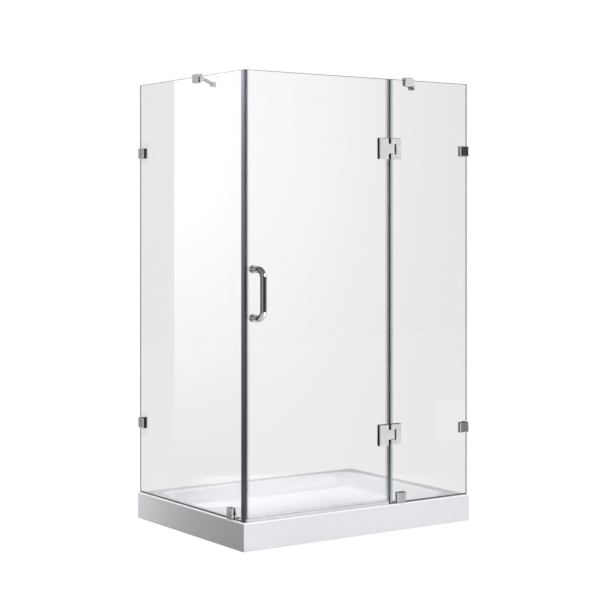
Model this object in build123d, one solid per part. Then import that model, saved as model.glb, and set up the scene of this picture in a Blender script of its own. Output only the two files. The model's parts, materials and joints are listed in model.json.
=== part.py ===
from build123d import *
import math
import os

# Shower enclosure for a room corner, in millimetres.
# X runs along the front from the free corner to the right wall, Y from the front to the
# back wall, Z up. The origin is the middle of the tray's underside.

# How far a cutting shape runs past the face that it cuts, and the play round a thread
OVERCUT = 1.0
THREAD_PLAY = 0.1

# Shower tray
TRAY_LENGTH = 1219.0
TRAY_DEPTH = 914.0
TRAY_HEIGHT = 118.0
TRAY_CORNER_R = 4.0
TRAY_EDGE_R = 4.5
RIM_WIDTH = 67.0
BASIN_DEPTH = 72.0
BASIN_DRAFT = 38.0
BASIN_CORNER_R = 95.0
BASIN_LIP_R = 20.0
BASIN_FLOOR_R = 28.0
FLOOR_FALL = 9.0
FLOOR_FALL_INSET = 30.0

# Waste outlet
DRAIN_X = 0.0
DRAIN_Y = -190.0
DRAIN_DISH = 140.0
DRAIN_FLANGE_R = 55.0
DRAIN_FLANGE_T = 3.0
DRAIN_GASKET_T = 2.0
DRAIN_THROAT_R = 40.0
DRAIN_WALL = 4.0
DRAIN_OUTLET_R = 20.5
DRAIN_OUTLET_WALL = 3.5
DRAIN_OUTLET_BOTTOM = 1.0
DRAIN_OUTLET_LENGTH = 12.0
DRAIN_PLAY = 1.0
DRAIN_POCKET_R = 66.0
DRAIN_POCKET_H = 19.0
DRAIN_NUT_R = 52.0
DRAIN_NUT_H = 7.0
DRAIN_NUT_NOTCHES = 8
DRAIN_NUT_NOTCH = 5.0
DRAIN_BRIDGE_W = 11.0
DRAIN_BRIDGE_H = 6.0
GRATE_R = 50.0
GRATE_T = 2.5
GRATE_EDGE_R = 1.5
GRATE_RINGS = ((15.0, 6), (26.0, 12), (37.0, 18))
GRATE_HOLE_R = 3.2
GRATE_SCREW_R = 2.4
GRATE_SCREW_LENGTH = 11.0
GRATE_SCREW_HEAD_R = 4.5
GRATE_SCREW_HEAD_H = 2.2
GRATE_SCREW_DOME_R = 1.2
GRATE_SCREW_SLOT_HALF = 0.6
GRATE_SCREW_SLOT_DEPTH = 1.0

# Glass
GLASS_T = 10.0
GLASS_TOP = TRAY_HEIGHT + 1875.0
FRONT_INSET = 12.0
SIDE_INSET = 11.0
WALL_GAP_BACK = 3.0
WALL_GAP_RIGHT = 5.0
SEALANT_H = 4.0
SEALANT_INSET = 0.6
GLASS_ARRIS = 1.0
CORNER_CUT = 14.0
DOOR_BOTTOM = TRAY_HEIGHT + 14.5
DOOR_RIGHT = 751.5
INLINE_LEFT = 760.5

# Places of the glass, worked out from the tray
CORNER_X = -TRAY_LENGTH / 2 + SIDE_INSET
CORNER_Y = -TRAY_DEPTH / 2 + FRONT_INSET
WALL_X = TRAY_LENGTH / 2
WALL_Y = TRAY_DEPTH / 2
FRONT_MID_Y = CORNER_Y + GLASS_T / 2
RETURN_MID_X = CORNER_X + GLASS_T / 2
FIXED_BOTTOM = TRAY_HEIGHT + SEALANT_H

# L-shaped clamps for the fixed glass
CLAMP_W = 46.0
CLAMP_H = 48.0
CLAMP_BEVEL = 2.2
PLATE_T = 8.0
PLATE_WALL_GAP = 0.5
GASKET_T = 1.0
GASKET_INSET = 0.5
CLAMP_GASKET_FROM = 6.0
GRIP = GLASS_T / 2 + GASKET_T
FOOT_REACH = 33.0
FOOT_T = 5.0
CLAMP_SCREW_U = 31.0
CLAMP_SCREW_W = 12.0
CLAMP_GLASS_HOLE_R = 6.0
FOOT_HOLE_N = 28.0
FOOT_HOLE_W = 14.0
WALL_HOLE_R = 2.75
RETURN_CLAMP_FROM_TOP = 315.0
RETURN_CLAMP_FROM_TRAY = 321.0
INLINE_CLAMP_FROM_END = 308.0
RETURN_BASE_CLAMP = 104.5
INLINE_BASE_CLAMP = 820.0

# Socket screws through the clamps and hinges
SCREW_R = 2.9
SCREW_HOLE_R = 3.1
SCREW_HEAD_R = 5.2
SCREW_HEAD_H = 3.4
SCREW_SINK_R = 5.5
SCREW_SINK_H = 3.6
SCREW_HEAD_BEVEL = 0.5
SCREW_TIP_WALL = 2.5
SCREW_TIP_PLAY = 0.3
SOCKET_AF = 4.0
SOCKET_DEPTH = 2.0
FOOT_SCREW_R = 2.2
FOOT_SCREW_HOLE_R = 2.4
FOOT_SCREW_LENGTH = 26.0
FOOT_SCREW_HEAD_R = 4.6
FOOT_SCREW_HEAD_H = 2.4
FOOT_SCREW_DOME_R = 1.4
CROSS_REACH = 2.6
CROSS_HALF = 0.5
CROSS_DEPTH = 1.2

# Top braces, from a saddle on the glass to a bracket on the wall
SADDLE_W = 46.0
SADDLE_ABOVE = 10.0
SADDLE_BELOW = 27.0
SADDLE_WEB_HALF = 7.0
BOSS_R = 10.0
BOSS_H = 21.0
BOSS_REACH = 12.0
BOSS_BEVEL = 0.8
BAR_R = 7.5
BAR_BEVEL = 0.5
BAR_PLAY = 0.05
BAR_SOCKET_DEPTH = 7.0
BAR_START_Z = TRAY_HEIGHT + 1870.0
BRACKET_W = 38.0
BRACKET_H = 24.0
BRACKET_T = 6.0
BRACKET_HOLE_SPACING = 28.0
BRACKET_HOLE_R = 2.25
GRUB_R = 2.4
GRUB_HOLE_R = 2.5
GRUB_LENGTH = 3.0
GRUB_SOCKET_DEPTH = 1.5
SADDLE_GRUB_R = 2.9
SADDLE_GRUB_LENGTH = 7.0
SADDLE_GRUB_W = 15.6
PAD_INSET = 3.0
RETURN_BRACE_AT = 391.0
RETURN_BRACE_WALL_X = CORNER_X + 396.0
RETURN_BRACE_WALL_Z = TRAY_HEIGHT + 1899.0
INLINE_BRACE_AT = 863.0
INLINE_BRACE_WALL_Y = CORNER_Y + 411.0
INLINE_BRACE_WALL_Z = TRAY_HEIGHT + 1888.0

# Hinges between the door and the fixed front glass
HINGE_AXIS_X = CORNER_X + 766.5
HINGE_FROM_END = 307.0
HINGE_H = 93.0
HINGE_BEVEL = 2.5
DOOR_LEAF_LEFT = -68.0
DOOR_LEAF_RIGHT = -18.3
TONGUE_RIGHT = 14.2
TONGUE_SINK = 1.5
TONGUE_BEVEL = 1.0
TONGUE_H = 43.0
TONGUE_LEFT = -36.0
FIXED_LEAF_LEFT = -6.0
FIXED_LEAF_RIGHT = 50.0
FIXED_NOTCH_RIGHT = 21.8
FIXED_NOTCH_H = 45.0
LUG_RIGHT = 22.0
LUG_CORNER_R = 5.0
GLASS_NOTCH_PLAY = 1.0
GLASS_NOTCH_R = 6.0
DOOR_NOTCH_LEFT = -37.5
DOOR_NOTCH_H = 50.0
DOOR_GASKET_INSET = 4.0
PIN_R = 4.0
PIN_BORE_R = 4.05
PIN_SHORT = 1.0
PIN_BEVEL = 0.6
BUSH_OUTER_R = 5.5
BUSH_BORE_R = 5.53
BUSH_FLANGE_R = 5.9
BUSH_FLANGE_T = 0.6
BUSH_LENGTH = 16.0
DOOR_SCREW_X = -54.0
DOOR_SCREW_Z = 27.0
FIXED_SCREW_X = 13.0
FIXED_SCREW_Z = 34.0

# Plastic seals
SEAL_WALL = 1.15
SEAL_PLAY = 0.15
STRIKE_LEG = 9.0
HINGE_SEAL_LEG = 11.0
INLINE_SEAL_LEG = 14.0
STRIKE_GAP = 0.5
MAGNET_W = 6.0
MAGNET_T = 4.0
MAGNET_SKIN = 0.8
MAGNET_PLAY = 0.05
MAGNET_END_GAP = 2.0
STRIKE_BOTTOM_GAP = 2.0
FIXED_STRIKE_BOTTOM_GAP = 0.5
SEAL_HINGE_GAP = 1.5
BULB_REACH = 5.8
BULB_HALF = 3.0
EDGE_SEAL_CUT = 1.0
SWEEP_LEG = 11.0
SWEEP_END_GAP = 0.5
SWEEP_FLOOR_GAP = 1.3
SWEEP_FIN_T = 1.4
DRIP_OUT = 8.0
DRIP_DOWN = 7.0

# Pull handle
HANDLE_AT = 50.0
HANDLE_Z = TRAY_HEIGHT + 946.0
HANDLE_SPACING = 203.0
HANDLE_R = 13.8
HANDLE_WALL = 1.6
HANDLE_REACH = 67.5
HANDLE_BEND_R = 36.0
COLLAR_R = 16.8
COLLAR_T = 5.0
COLLAR_BEVEL = 1.0
HANDLE_GLASS_HOLE_R = 6.0
WASHER_R = 16.0
WASHER_T = 1.0
STUD_R = 4.0
STUD_END_GAP = 1.0
PLUG_LENGTH = 14.0
PLUG_PLAY = 0.05
CAP_R = 16.8
CAP_H = 20.0
CAP_DOME_R = 11.0
CAP_BORE_DEPTH = 9.0


def block(x0, x1, y0, y1, z0, z1):
    centre = Pos((x0 + x1) / 2, (y0 + y1) / 2, (z0 + z1) / 2)
    return centre * Box(x1 - x0, y1 - y0, z1 - z0)


def rod(radius, start, end):
    axis = Vector(*end) - Vector(*start)
    cylinder = Cylinder(radius, axis.length, align=(Align.CENTER, Align.CENTER, Align.MIN))
    return Plane(origin=start, z_dir=axis) * cylinder


def bevelled(shape, axis, size):
    face = shape.faces().sort_by(axis)[-1]
    return chamfer(face.edges(), size)


def profile_along_z(points, z0, z1):
    outline = Polygon(*points, align=None)
    return Pos(0, 0, z0) * extrude(outline, z1 - z0, dir=(0, 0, 1))


def group(shapes):
    solids = []
    for shape in shapes:
        solids.extend(shape.solids())
    return Compound(solids)


# Tray and waste


def shower_tray():
    body = block(-TRAY_LENGTH / 2, TRAY_LENGTH / 2, -TRAY_DEPTH / 2, TRAY_DEPTH / 2, 0, TRAY_HEIGHT)
    body = fillet(body.edges().filter_by(Axis.Z), TRAY_CORNER_R)
    opening_l = TRAY_LENGTH - 2 * RIM_WIDTH
    opening_d = TRAY_DEPTH - 2 * RIM_WIDTH
    floor_l = opening_l - 2 * BASIN_DRAFT
    floor_d = opening_d - 2 * BASIN_DRAFT
    floor_z = TRAY_HEIGHT - BASIN_DEPTH
    upper = Plane.XY.offset(TRAY_HEIGHT) * RectangleRounded(opening_l, opening_d, BASIN_CORNER_R)
    lower_r = BASIN_CORNER_R - BASIN_DRAFT
    lower = Plane.XY.offset(floor_z) * RectangleRounded(floor_l, floor_d, lower_r)
    body -= loft([lower, upper], ruled=True)
    floor = body.faces().filter_by(Plane.XY).sort_by(SortBy.AREA)[-2:]
    floor = floor.sort_by(lambda face: abs(face.center().Z - floor_z))[0]
    body = fillet(floor.outer_wire().edges(), BASIN_FLOOR_R)
    rim = body.faces().sort_by(Axis.Z)[-1]
    body = fillet(rim.inner_wires()[0].edges(), BASIN_LIP_R)
    rim = body.faces().sort_by(Axis.Z)[-1]
    body = fillet(rim.outer_wire().edges(), TRAY_EDGE_R)
    body -= floor_fall(floor_l, floor_d, floor_z)
    body -= drain_holes(floor_z)
    body -= foot_screw_holes()
    return body


def floor_fall(floor_l, floor_d, floor_z):
    flat = 2 * (BASIN_FLOOR_R + FLOOR_FALL_INSET)
    upper = Plane.XY.offset(floor_z) * Rectangle(floor_l - flat, floor_d - flat)
    lower = Plane.XY.offset(floor_z - FLOOR_FALL) * Rectangle(DRAIN_DISH, DRAIN_DISH)
    return loft([Pos(DRAIN_X, DRAIN_Y) * lower, upper], ruled=True)


def drain_holes(floor_z):
    seat_z = floor_z - FLOOR_FALL
    under = seat_z - DRAIN_FLANGE_T - DRAIN_GASKET_T
    recess = rod(DRAIN_FLANGE_R + DRAIN_PLAY, (0, 0, under), (0, 0, floor_z))
    throat = rod(DRAIN_THROAT_R + DRAIN_PLAY, (0, 0, -OVERCUT), (0, 0, floor_z))
    pocket = rod(DRAIN_POCKET_R, (0, 0, -OVERCUT), (0, 0, DRAIN_POCKET_H))
    return at_drain(recess + throat + pocket)


def foot_screw_holes():
    holes = []
    for x, y in foot_screw_places():
        deep = TRAY_HEIGHT - FOOT_SCREW_LENGTH
        holes.append(rod(FOOT_SCREW_HOLE_R, (x, y, deep), (x, y, TRAY_HEIGHT + OVERCUT)))
    return holes


def foot_screw_places():
    places = []
    for side in (-1, 1):
        along = RETURN_BASE_CLAMP + side * FOOT_HOLE_W
        places.append((RETURN_MID_X + FOOT_HOLE_N, CORNER_Y + along))
        along = INLINE_BASE_CLAMP + side * FOOT_HOLE_W
        places.append((CORNER_X + along, FRONT_MID_Y + FOOT_HOLE_N))
    return places


def drain_levels():
    seat = TRAY_HEIGHT - BASIN_DEPTH - FLOOR_FALL
    flange_bottom = seat - DRAIN_FLANGE_T
    cup_bottom = DRAIN_OUTLET_BOTTOM + DRAIN_OUTLET_LENGTH
    return seat, flange_bottom, cup_bottom


def at_drain(shape):
    return Pos(DRAIN_X, DRAIN_Y, 0) * shape


def drain_body():
    seat, flange_bottom, cup_bottom = drain_levels()
    body = rod(DRAIN_FLANGE_R, (0, 0, flange_bottom), (0, 0, seat))
    body += rod(DRAIN_THROAT_R, (0, 0, cup_bottom), (0, 0, seat))
    body += rod(DRAIN_OUTLET_R + DRAIN_OUTLET_WALL, (0, 0, DRAIN_OUTLET_BOTTOM), (0, 0, cup_bottom))
    body -= rod(DRAIN_THROAT_R - DRAIN_WALL, (0, 0, cup_bottom + DRAIN_WALL), (0, 0, seat))
    body -= rod(DRAIN_OUTLET_R, (0, 0, 0), (0, 0, seat))
    half = DRAIN_THROAT_R - DRAIN_WALL / 2
    low = seat - DRAIN_BRIDGE_H
    body += block(-half, half, -DRAIN_BRIDGE_W / 2, DRAIN_BRIDGE_W / 2, low, seat)
    body -= rod(GRATE_SCREW_R + THREAD_PLAY, (0, 0, low - OVERCUT), (0, 0, seat + OVERCUT))
    return at_drain(body)


def drain_gasket():
    _, flange_bottom, _ = drain_levels()
    low = flange_bottom - DRAIN_GASKET_T
    ring = rod(DRAIN_FLANGE_R - DRAIN_PLAY, (0, 0, low), (0, 0, flange_bottom))
    ring -= rod(DRAIN_THROAT_R + DRAIN_PLAY / 2, (0, 0, low), (0, 0, flange_bottom))
    return at_drain(ring)


def drain_locknut():
    low = DRAIN_POCKET_H - DRAIN_NUT_H
    nut = rod(DRAIN_NUT_R, (0, 0, low), (0, 0, DRAIN_POCKET_H))
    nut -= rod(DRAIN_THROAT_R + THREAD_PLAY, (0, 0, low), (0, 0, DRAIN_POCKET_H))
    cut = DRAIN_NUT_NOTCH
    notch = block(DRAIN_NUT_R - cut, DRAIN_NUT_R + OVERCUT, -cut, cut, low, DRAIN_POCKET_H)
    for step in range(DRAIN_NUT_NOTCHES):
        nut -= Rot(0, 0, step * 360 / DRAIN_NUT_NOTCHES) * notch
    return at_drain(nut)


def drain_grate():
    seat, _, _ = drain_levels()
    low = seat - OVERCUT
    high = seat + GRATE_T + OVERCUT
    grate = rod(GRATE_R, (0, 0, seat), (0, 0, seat + GRATE_T))
    grate = fillet(grate.edges().sort_by(Axis.Z)[-1], GRATE_EDGE_R)
    holes = [rod(GRATE_SCREW_R + 2 * THREAD_PLAY, (0, 0, low), (0, 0, high))]
    for ring_r, count in GRATE_RINGS:
        for step in range(count):
            angle = 2 * math.pi * step / count
            x = ring_r * math.cos(angle)
            y = ring_r * math.sin(angle)
            holes.append(rod(GRATE_HOLE_R, (x, y, low), (x, y, high)))
    return at_drain(grate - holes)


def drain_grate_screw():
    seat, _, _ = drain_levels()
    top = seat + GRATE_T
    screw = rod(GRATE_SCREW_R, (0, 0, top - GRATE_SCREW_LENGTH), (0, 0, top))
    head_top = top + GRATE_SCREW_HEAD_H
    head = rod(GRATE_SCREW_HEAD_R, (0, 0, top), (0, 0, head_top))
    head = fillet(head.edges().sort_by(Axis.Z)[-1], GRATE_SCREW_DOME_R)
    reach = GRATE_SCREW_HEAD_R + OVERCUT
    half = GRATE_SCREW_SLOT_HALF
    slot = block(-reach, reach, -half, half, head_top - GRATE_SCREW_SLOT_DEPTH, head_top + OVERCUT)
    return at_drain(screw + head - slot)


# Fixed glass, door glass and sealant


def arrissed_pane(x0, x1, y0, y1, z0, z1):
    pane = block(x0, x1, y0, y1, z0, z1)
    return chamfer(pane.edges(), GLASS_ARRIS)


def clamp_glass_holes(place):
    holes = []
    for side in (-1, 1):
        w = side * CLAMP_SCREW_W
        hole = rod(CLAMP_GLASS_HOLE_R, (-GLASS_T, w, CLAMP_SCREW_U), (GLASS_T, w, CLAMP_SCREW_U))
        holes.append(place * hole)
    return holes


def return_panel():
    y0 = CORNER_Y + CORNER_CUT
    y1 = WALL_Y - WALL_GAP_BACK
    pane = arrissed_pane(CORNER_X, CORNER_X + GLASS_T, y0, y1, FIXED_BOTTOM, GLASS_TOP)
    for name in ("return_upper_wall", "return_lower_wall", "return_base"):
        pane -= clamp_glass_holes(CLAMP_PLACES[name])
    return pane


def inline_panel():
    x0 = CORNER_X + INLINE_LEFT
    y1 = CORNER_Y + GLASS_T
    pane = arrissed_pane(x0, WALL_X - WALL_GAP_RIGHT, CORNER_Y, y1, FIXED_BOTTOM, GLASS_TOP)
    for name in ("inline_upper_wall", "inline_lower_wall", "inline_base"):
        pane -= clamp_glass_holes(CLAMP_PLACES[name])
    for hinge_z in HINGE_CENTRES.values():
        pane -= Pos(HINGE_AXIS_X, FRONT_MID_Y, hinge_z) * fixed_glass_notch()
    return pane


def door_glass():
    x0 = CORNER_X + CORNER_CUT
    x1 = CORNER_X + DOOR_RIGHT
    pane = arrissed_pane(x0, x1, CORNER_Y, CORNER_Y + GLASS_T, DOOR_BOTTOM, GLASS_TOP)
    for hinge_z in HINGE_CENTRES.values():
        place = Pos(HINGE_AXIS_X, FRONT_MID_Y, hinge_z)
        pane -= place * door_glass_notch()
        for side in (-1, 1):
            z = side * DOOR_SCREW_Z
            hole = rod(CLAMP_GLASS_HOLE_R, (DOOR_SCREW_X, -GLASS_T, z), (DOOR_SCREW_X, GLASS_T, z))
            pane -= place * hole
    for x, z in handle_places():
        start = (x, CORNER_Y - OVERCUT, z)
        pane -= rod(HANDLE_GLASS_HOLE_R, start, (x, CORNER_Y + GLASS_T + OVERCUT, z))
    return pane


def notch_block(x0, x1, half_h, closed_side):
    notch = block(x0, x1, -GLASS_T, GLASS_T, -half_h, half_h)
    inner = notch.edges().filter_by(Axis.Y).group_by(Axis.X)[closed_side]
    return fillet(inner, GLASS_NOTCH_R)


def fixed_glass_notch():
    right = LUG_RIGHT + GLASS_NOTCH_PLAY
    return notch_block(-right, right, HINGE_H / 2 + GLASS_NOTCH_PLAY, -1)


def door_glass_notch():
    return notch_block(DOOR_NOTCH_LEFT, 0, DOOR_NOTCH_H / 2, 0)


def return_panel_sealant():
    x0 = CORNER_X + SEALANT_INSET
    x1 = CORNER_X + GLASS_T - SEALANT_INSET
    y0 = CORNER_Y + CORNER_CUT + STRIKE_LEG + SEALANT_INSET
    return block(x0, x1, y0, WALL_Y - WALL_GAP_BACK, TRAY_HEIGHT, FIXED_BOTTOM)


def inline_panel_sealant():
    x0 = CORNER_X + INLINE_LEFT
    y0 = CORNER_Y + SEALANT_INSET
    y1 = CORNER_Y + GLASS_T - SEALANT_INSET
    return block(x0, WALL_X - WALL_GAP_RIGHT, y0, y1, TRAY_HEIGHT, FIXED_BOTTOM)


# Clamps, in their own frame: X through the glass into the shower, Z away from the foot


def clamp_places():
    into_shower_x = (1, 0, 0)
    into_shower_y = (0, 1, 0)
    places = {}
    high = GLASS_TOP - RETURN_CLAMP_FROM_TOP
    for name, z in (("upper", high), ("lower", TRAY_HEIGHT + RETURN_CLAMP_FROM_TRAY)):
        origin = (RETURN_MID_X, WALL_Y, z)
        place = Plane(origin=origin, x_dir=into_shower_x, z_dir=(0, -1, 0))
        places["return_" + name + "_wall"] = place
    high = GLASS_TOP - INLINE_CLAMP_FROM_END
    for name, z in (("upper", high), ("lower", TRAY_HEIGHT + INLINE_CLAMP_FROM_END)):
        origin = (WALL_X, FRONT_MID_Y, z)
        place = Plane(origin=origin, x_dir=into_shower_y, z_dir=(-1, 0, 0))
        places["inline_" + name + "_wall"] = place
    origin = (RETURN_MID_X, CORNER_Y + RETURN_BASE_CLAMP, TRAY_HEIGHT)
    places["return_base"] = Plane(origin=origin, x_dir=into_shower_x, z_dir=(0, 0, 1))
    origin = (CORNER_X + INLINE_BASE_CLAMP, FRONT_MID_Y, TRAY_HEIGHT)
    places["inline_base"] = Plane(origin=origin, x_dir=into_shower_y, z_dir=(0, 0, 1))
    return places


def clamp_bracket(foot_hole_r):
    half = CLAMP_W / 2
    outer = GRIP + PLATE_T
    plate = bevelled(block(GRIP, outer, -half, half, 0, CLAMP_H), Axis.X, CLAMP_BEVEL)
    foot = block(GRIP, GRIP + FOOT_REACH, -half, half, 0, FOOT_T)
    foot = bevelled(foot, Axis.Z, CLAMP_BEVEL)
    plate += foot
    for side in (-1, 1):
        w = side * CLAMP_SCREW_W
        end = (outer + OVERCUT, w, CLAMP_SCREW_U)
        plate -= rod(SCREW_HOLE_R, (0, w, CLAMP_SCREW_U), end)
        plate -= rod(SCREW_SINK_R, (outer - SCREW_SINK_H, w, CLAMP_SCREW_U), end)
        w = side * FOOT_HOLE_W
        plate -= rod(foot_hole_r, (FOOT_HOLE_N, w, -OVERCUT), (FOOT_HOLE_N, w, FOOT_T + OVERCUT))
    return plate


def clamp_outer_plate():
    half = CLAMP_W / 2
    outer = GRIP + PLATE_T
    plate = block(GRIP, outer, -half, half, PLATE_WALL_GAP, CLAMP_H)
    plate = bevelled(plate, Axis.X, CLAMP_BEVEL)
    for side in (-1, 1):
        w = side * CLAMP_SCREW_W
        deep = outer - SCREW_TIP_WALL
        plate -= rod(SCREW_HOLE_R, (0, w, CLAMP_SCREW_U), (deep, w, CLAMP_SCREW_U))
    return mirror(plate, about=Plane.YZ)


def clamp_gasket_pair():
    half = CLAMP_W / 2 - GASKET_INSET
    pieces = []
    for side in (-1, 1):
        x0 = min(side * GRIP, side * GLASS_T / 2)
        x1 = x0 + GASKET_T
        sheet = block(x0, x1, -half, half, CLAMP_GASKET_FROM, CLAMP_H - GASKET_INSET)
        for across in (-1, 1):
            w = across * CLAMP_SCREW_W
            start = (x0 - OVERCUT, w, CLAMP_SCREW_U)
            sheet -= rod(SCREW_HOLE_R, start, (x1 + OVERCUT, w, CLAMP_SCREW_U))
        pieces.append(sheet)
    return pieces


def socket_screw():
    """Screw along X through the glass, from its head in the inner plate to its tip in the outer."""
    head_seat = GRIP + PLATE_T - SCREW_SINK_H
    tip = -(GRIP + PLATE_T - SCREW_TIP_WALL - SCREW_TIP_PLAY)
    top = head_seat + SCREW_HEAD_H
    screw = rod(SCREW_R, (tip, 0, 0), (head_seat, 0, 0))
    head = rod(SCREW_HEAD_R, (head_seat, 0, 0), (top, 0, 0))
    head = chamfer(head.faces().sort_by(Axis.X)[-1].edges(), SCREW_HEAD_BEVEL)
    hexagon = RegularPolygon(SOCKET_AF / 2, 6, major_radius=False)
    bottom = Plane(origin=(top - SOCKET_DEPTH, 0, 0), z_dir=(1, 0, 0))
    return screw + head - bottom * extrude(hexagon, SOCKET_DEPTH + OVERCUT)


def clamp_screw_pair():
    screws = []
    for side in (-1, 1):
        screws.append(Pos(0, side * CLAMP_SCREW_W, CLAMP_SCREW_U) * socket_screw())
    return screws


def base_foot_screws():
    screws = []
    head_z = TRAY_HEIGHT + FOOT_T
    for x, y in foot_screw_places():
        screw = rod(FOOT_SCREW_R, (x, y, head_z - FOOT_SCREW_LENGTH), (x, y, head_z))
        top = head_z + FOOT_SCREW_HEAD_H
        head = rod(FOOT_SCREW_HEAD_R, (x, y, head_z), (x, y, top))
        head = fillet(head.edges().sort_by(Axis.Z)[-1], FOOT_SCREW_DOME_R)
        screws.append(screw + head - Pos(x, y, top) * cross_recess())
    return group(screws)


def cross_recess():
    long = 2 * CROSS_REACH
    short = 2 * CROSS_HALF
    deep = 2 * CROSS_DEPTH
    return Box(long, short, deep) + Box(short, long, deep)


# Top braces


def brace_lines():
    """Start and end of each bar's centre line, and the directions into the shower."""
    reach = GRIP + PLATE_T + BOSS_REACH
    at_y = CORNER_Y + RETURN_BRACE_AT
    at_x = CORNER_X + INLINE_BRACE_AT
    lines = {}
    start = (RETURN_MID_X + reach, at_y, BAR_START_Z)
    end = (RETURN_BRACE_WALL_X, WALL_Y - BOSS_REACH, RETURN_BRACE_WALL_Z)
    lines["return"] = (Vector(*start), Vector(*end))
    start = (at_x, FRONT_MID_Y + reach, BAR_START_Z)
    end = (WALL_X - BOSS_REACH, INLINE_BRACE_WALL_Y, INLINE_BRACE_WALL_Z)
    lines["inline"] = (Vector(*start), Vector(*end))
    return lines


def bar_ends(side):
    start, end = BRACE_LINES[side]
    along = (end - start).normalized()
    pull = BOSS_R - BAR_SOCKET_DEPTH
    return start + along * pull, end - along * pull


def brace_bar(side):
    first, last = bar_ends(side)
    bar = rod(BAR_R, first, last)
    return chamfer(bar.edges().filter_by(GeomType.CIRCLE), BAR_BEVEL)


def bar_socket(side):
    first, last = bar_ends(side)
    return rod(BAR_R + BAR_PLAY, first, last)


def saddle_place(side):
    start = BRACE_LINES[side][0]
    if side == "return":
        return Plane(origin=(RETURN_MID_X, start.Y, GLASS_TOP), x_dir=(1, 0, 0), z_dir=(0, 0, 1))
    return Plane(origin=(start.X, FRONT_MID_Y, GLASS_TOP), x_dir=(0, 1, 0), z_dir=(0, 0, 1))


def brace_saddle(side):
    outer = GRIP + PLATE_T
    half = SADDLE_W / 2
    place = saddle_place(side)
    saddle = block(-outer, outer, -half, half, -SADDLE_BELOW, SADDLE_ABOVE)
    saddle = chamfer(saddle.edges(), CLAMP_BEVEL)
    slot_half = half + OVERCUT
    saddle -= block(-GRIP, GRIP, -slot_half, slot_half, -SADDLE_BELOW - OVERCUT, GASKET_T)
    rise = BAR_START_Z - GLASS_TOP
    low = rise - BOSS_H / 2
    high = rise + BOSS_H / 2
    boss_x = outer + BOSS_REACH
    boss = rod(BOSS_R, (boss_x, 0, low), (boss_x, 0, high))
    boss = chamfer(boss.edges().filter_by(GeomType.CIRCLE), BOSS_BEVEL)
    saddle += boss + block(GRIP, boss_x, -SADDLE_WEB_HALF, SADDLE_WEB_HALF, low, high)
    for w in (-SADDLE_GRUB_W, SADDLE_GRUB_W):
        start = (GRIP - OVERCUT, w, rise)
        saddle -= rod(SADDLE_GRUB_R + THREAD_PLAY, start, (outer + OVERCUT, w, rise))
    saddle -= rod(GRUB_HOLE_R, (boss_x, 0, rise), (boss_x, 0, high + OVERCUT))
    return place * saddle - bar_socket(side)


def saddle_pads(side):
    half = SADDLE_W / 2 - PAD_INSET / 2
    pads = []
    for sign in (-1, 1):
        x0 = min(sign * GRIP, sign * GLASS_T / 2)
        pads.append(block(x0, x0 + GASKET_T, -half, half, -SADDLE_BELOW + PAD_INSET, 0))
    pads.append(block(-GRIP, GRIP, -half, half, 0, GASKET_T))
    pads = pads[0] + pads[1] + pads[2]
    return saddle_place(side) * pads


def bracket_place(side):
    end = BRACE_LINES[side][1]
    if side == "return":
        return Plane(origin=(end.X, WALL_Y, end.Z), x_dir=(1, 0, 0), z_dir=(0, 1, 0))
    return Plane(origin=(WALL_X, end.Y, end.Z), x_dir=(0, 1, 0), z_dir=(1, 0, 0))


def brace_wall_bracket(side):
    """Plate against the wall, in a frame with Z into the wall, and a boss for the bar."""
    end = BRACE_LINES[side][1]
    plate = Pos(0, 0, -BRACKET_T / 2) * Box(BRACKET_W, BRACKET_H, BRACKET_T)
    plate = chamfer(plate.faces().sort_by(Axis.Z)[0].edges(), CLAMP_BEVEL)
    for across in (-1, 1):
        x = across * BRACKET_HOLE_SPACING / 2
        plate -= rod(BRACKET_HOLE_R, (x, 0, -BRACKET_T - OVERCUT), (x, 0, OVERCUT))
    low = end.Z - BOSS_H / 2
    high = end.Z + BOSS_H / 2
    boss = rod(BOSS_R, (end.X, end.Y, low), (end.X, end.Y, high))
    boss = chamfer(boss.edges().filter_by(GeomType.CIRCLE), BOSS_BEVEL)
    bracket = bracket_place(side) * plate + boss
    hole = rod(GRUB_HOLE_R, end, (end.X, end.Y, high + OVERCUT))
    return bracket - hole - bar_socket(side)


def grub(radius, start, end):
    body = rod(radius, start, end)
    axis = (Vector(*end) - Vector(*start)).normalized()
    hexagon = RegularPolygon(radius / 2, 6, major_radius=False)
    bottom = Plane(origin=Vector(*end) - axis * GRUB_SOCKET_DEPTH, z_dir=axis)
    return body - bottom * extrude(hexagon, GRUB_SOCKET_DEPTH + OVERCUT)


def brace_grub_screws():
    screws = []
    outer = GRIP + PLATE_T
    rise = BAR_START_Z - GLASS_TOP
    for side in BRACE_LINES:
        place = saddle_place(side)
        for w in (-SADDLE_GRUB_W, SADDLE_GRUB_W):
            tip = outer - SADDLE_GRUB_LENGTH
            screws.append(place * grub(SADDLE_GRUB_R, (tip, w, rise), (outer, w, rise)))
        for point in BRACE_LINES[side]:
            top = point.Z + BOSS_H / 2
            screws.append(grub(GRUB_R, (point.X, point.Y, top - GRUB_LENGTH), (point.X, point.Y, top)))
    return group(screws)


# Hinges, in their own frame: origin on the pin's axis at mid height, Y into the shower


def leaf_holes(x, z_half, y_from, y_to, radius):
    holes = []
    for side in (-1, 1):
        holes.append(rod(radius, (x, y_from, side * z_half), (x, y_to, side * z_half)))
    return holes


def screw_holes_inner(x, z_half):
    outer = GRIP + PLATE_T
    holes = leaf_holes(x, z_half, -GRIP, outer + OVERCUT, SCREW_HOLE_R)
    holes += leaf_holes(x, z_half, outer - SCREW_SINK_H, outer + OVERCUT, SCREW_SINK_R)
    return holes


def screw_holes_outer(x, z_half):
    deep = GRIP + PLATE_T - SCREW_TIP_WALL
    return leaf_holes(x, z_half, 0, -deep, SCREW_HOLE_R)


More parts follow.
